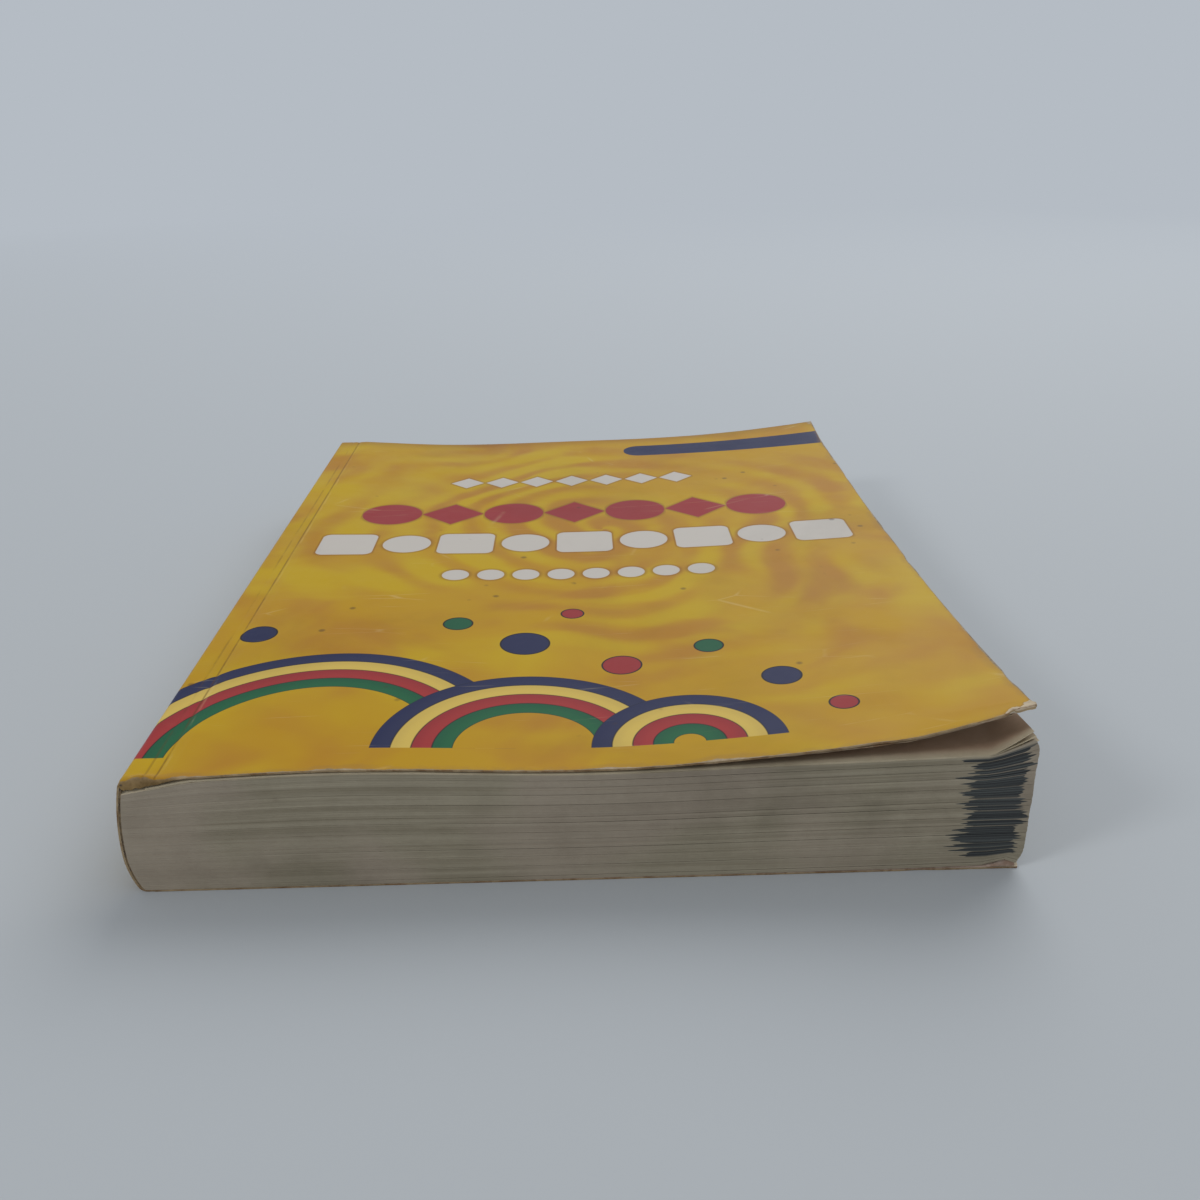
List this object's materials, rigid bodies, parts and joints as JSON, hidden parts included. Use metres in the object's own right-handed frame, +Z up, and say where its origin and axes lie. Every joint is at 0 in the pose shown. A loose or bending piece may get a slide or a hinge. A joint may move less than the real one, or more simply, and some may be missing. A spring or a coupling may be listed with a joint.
{
  "type": "paperback book",
  "caption": "Thick large-format softcover book with a rounded glued back; both card covers hinge at their creases, and the front one has sprung open at a corner.",
  "frame": {"origin": "under the middle of the book, on the surface that it lies on", "axes": "+X from the spine to the fore-edge, +Y from the tail to the head, +Z up through the front cover"},
  "size_m": [0.1914, 0.246, 0.0397],
  "materials": {
    "leaves": "matte",
    "binding_glue": "satin",
    "cover_card": "satin"
  },
  "bodies": {
    "block": {"text_block": "leaves", "spine_glue": "binding_glue", "spine_cover": "cover_card"},
    "front_cover": {"front_cover": "cover_card"},
    "back_cover": {"back_cover": "cover_card"}
  },
  "joints": [
    {"name": "front_cover_hinge", "type": "hinge", "parent": "block", "child": "front_cover", "pos_m": [-0.0861, 0, 0.0283], "axis": [0, -1, 0], "range_deg": [0, 180]},
    {"name": "back_cover_hinge", "type": "hinge", "parent": "block", "child": "back_cover", "pos_m": [-0.0861, 0, -0.0003], "axis": [0, 1, 0], "range_deg": [0, 180]}
  ]
}
